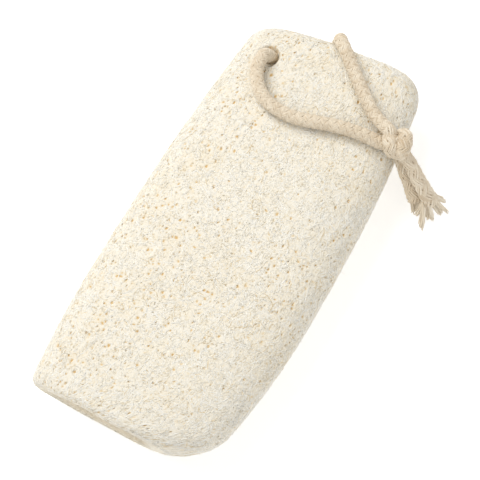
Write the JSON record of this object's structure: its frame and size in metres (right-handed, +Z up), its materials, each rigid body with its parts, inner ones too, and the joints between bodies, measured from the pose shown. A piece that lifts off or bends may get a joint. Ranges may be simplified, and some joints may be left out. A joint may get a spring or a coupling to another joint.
{
  "type": "loofah back scrubber",
  "caption": "Pressed natural loofah slab for scrubbing, with a round cotton cord threaded through one end and knotted into a hanging loop with two frayed tails.",
  "frame": {"origin": "centre of the slab's footprint on the table, at its bottom", "axes": "+X along the slab towards the end that carries the cord, +Z up through the scrubbing face, -Y towards the knot"},
  "size_m": [0.1982, 0.1173, 0.047],
  "materials": {
    "fibre_mat": "dry curled loofah fibre pressed into an open, slightly shaggy mat",
    "core_fibre": "coarser, darker inner loofah web",
    "cord": "round braided natural cotton, slightly fuzzy",
    "cord_yarn": "loose unravelled cotton yarn"
  },
  "bodies": {
    "root": {"fibre_wall": "fibre_mat", "core_web": "core_fibre", "cord_through_hole": "cord", "cord_round_head": "cord"},
    "loop": {"cord_front": "cord", "cord_over_edge": "cord", "knot": "cord"},
    "tails": {"tail_long": "cord", "tail_short": "cord", "frayed_end_long": "cord_yarn", "frayed_end_short": "cord_yarn"}
  },
  "joints": [
    {"name": "loop_swing", "type": "hinge", "parent": "root", "child": "loop", "pos_m": [0.071, 0.0285, 0.039], "axis": [-0.6997, 0.7143, 0.0146], "range_deg": [0, 135]},
    {"name": "tails_sway", "type": "hinge", "parent": "loop", "child": "tails", "pos_m": [0.064, -0.0395, 0.04], "axis": [-0.9536, 0.3011, 0], "range_deg": [0, 70]}
  ]
}
